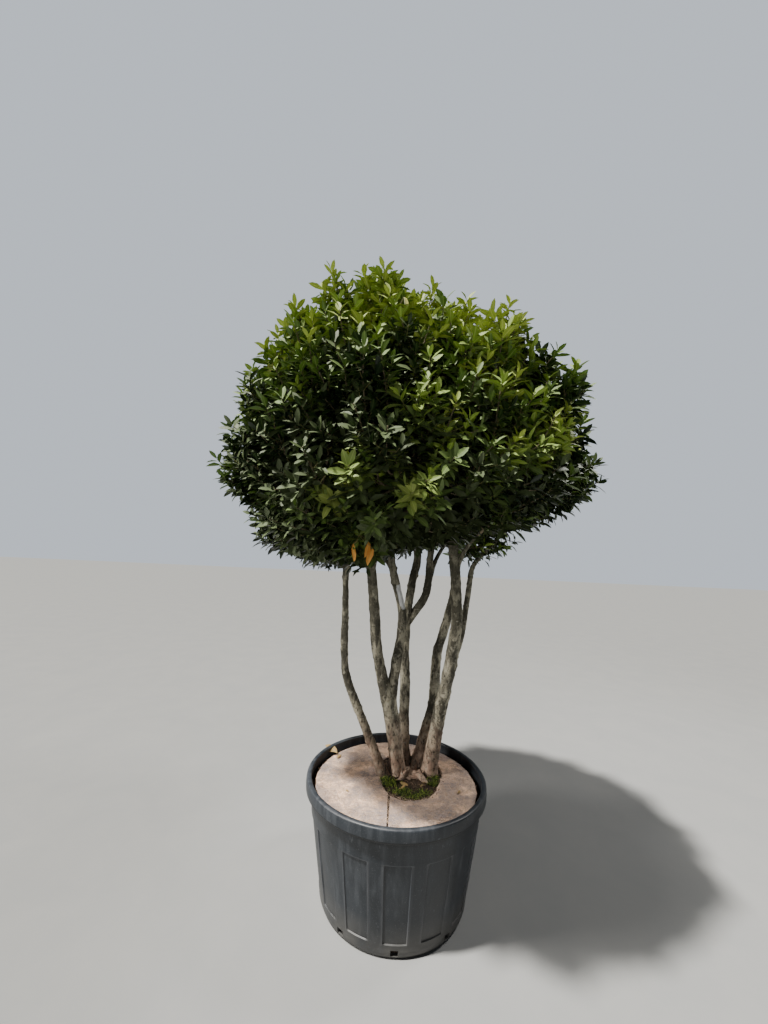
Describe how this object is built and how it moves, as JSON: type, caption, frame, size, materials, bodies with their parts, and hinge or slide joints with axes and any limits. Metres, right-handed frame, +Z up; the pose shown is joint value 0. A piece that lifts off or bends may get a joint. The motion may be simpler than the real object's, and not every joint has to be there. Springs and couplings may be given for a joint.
{
  "type": "potted multi-stem bay shrub with a clipped dome crown",
  "caption": "Bay shrub with bare upright stems and a dense rounded dome of leaves, growing in a ribbed round nursery pot under a felt disc.",
  "frame": {"origin": "middle of the pot's flat underside, on the ground", "axes": "+Z up along the pot's axis, -Y towards the front, where the slit in the felt disc runs, +X to the right seen from the front"},
  "size_m": [2.0321, 2.0254, 3.2115],
  "materials": {
    "pot": "satin",
    "soil": "matte",
    "felt": "matte",
    "bark": "matte",
    "leaf": "satin"
  },
  "bodies": {
    "root": {"pot": "pot", "soil": "soil", "felt_disc": "felt", "stem_middle": "bark", "stem_back": "bark", "stem_right": "bark", "stem_right_back": "bark", "stem_left": "bark", "limb_right": "bark", "limb_back_right": "bark", "bough_hem_2": "bark", "bough_hem_3": "bark", "bough_hem_4": "bark", "bough_hem_6": "bark", "bough_hem_7": "bark", "bough_hem_8": "bark", "bough_belt_3": "bark", "bough_belt_4": "bark", "bough_belt_5": "bark", "bough_belt_6": "bark", "bough_belt_7": "bark", "bough_belt_8": "bark", "bough_shoulder_1": "bark", "bough_shoulder_2": "bark", "foliage_hem_1": "leaf", "foliage_hem_2": "leaf", "foliage_hem_3": "leaf", "foliage_hem_4": "leaf", "foliage_hem_5": "leaf", "foliage_hem_6": "leaf", "foliage_hem_7": "leaf", "foliage_hem_8": "leaf", "foliage_belt_1": "leaf", "foliage_belt_2": "leaf", "foliage_belt_3": "leaf", "foliage_belt_4": "leaf", "foliage_belt_5": "leaf", "foliage_belt_6": "leaf", "foliage_belt_7": "leaf", "foliage_belt_8": "leaf", "foliage_shoulder_1": "leaf", "foliage_shoulder_2": "leaf", "foliage_shoulder_3": "leaf", "foliage_shoulder_4": "leaf", "foliage_shoulder_5": "leaf", "foliage_cap_1": "leaf"}
  },
  "joints": []
}
